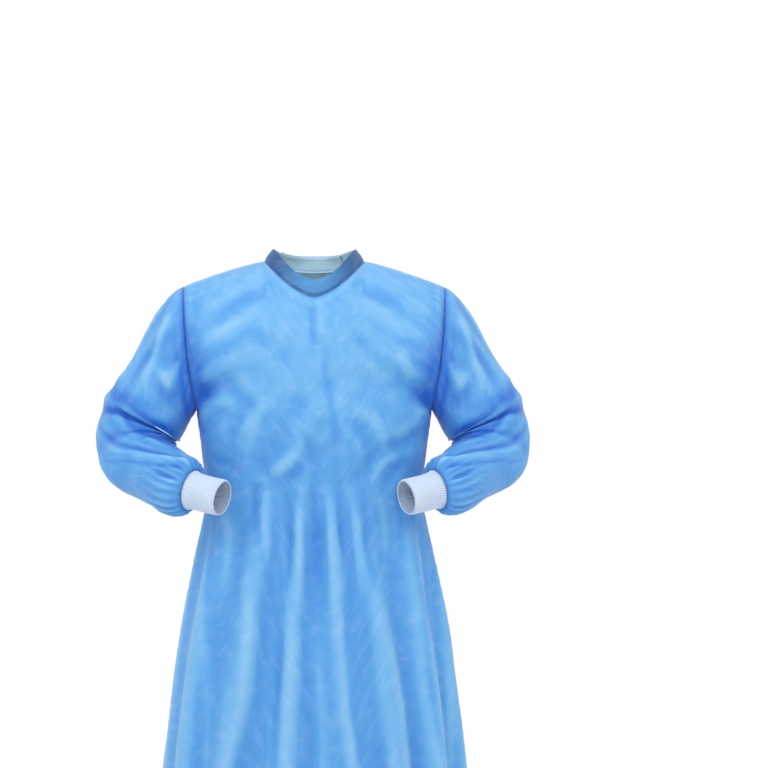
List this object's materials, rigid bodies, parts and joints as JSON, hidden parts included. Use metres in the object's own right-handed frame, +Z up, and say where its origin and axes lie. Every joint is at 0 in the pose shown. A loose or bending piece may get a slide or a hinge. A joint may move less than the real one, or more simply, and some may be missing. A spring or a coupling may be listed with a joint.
{
  "type": "isolation gown",
  "caption": "Knee-length long-sleeved isolation gown, worn and hollow, with a neck band, knitted cuffs, a lapped back and waist ties in a bow.",
  "frame": {"origin": "halfway between the two points where the shoulder seams meet the neck band, where the wearer's shoulders hold the gown up", "axes": "+Z up along the gown's length, -Y out of its front, +X to the right of someone who faces the front"},
  "size_m": [0.8252, 0.4163, 1.1437],
  "materials": {
    "gown_cloth": "light blue bonded nonwoven, soft satin",
    "neck_band_cloth": "the same nonwoven, folded double, darker",
    "cuff_knit": "pale ribbed knit, matt",
    "tie_cloth": "light blue bonded nonwoven strip, soft satin"
  },
  "bodies": {
    "root": {"front_panel": "gown_cloth", "back_panel_left": "gown_cloth", "back_panel_right": "gown_cloth", "sleeve_left": "gown_cloth", "sleeve_right": "gown_cloth", "neck_band": "neck_band_cloth", "cuff_left": "cuff_knit", "cuff_right": "cuff_knit", "waist_tie_left": "tie_cloth", "waist_tie_right": "tie_cloth", "tie_knot": "tie_cloth", "bow_loop_left": "tie_cloth", "bow_loop_right": "tie_cloth", "tie_tail_left": "tie_cloth", "tie_tail_right": "tie_cloth"}
  },
  "joints": []
}
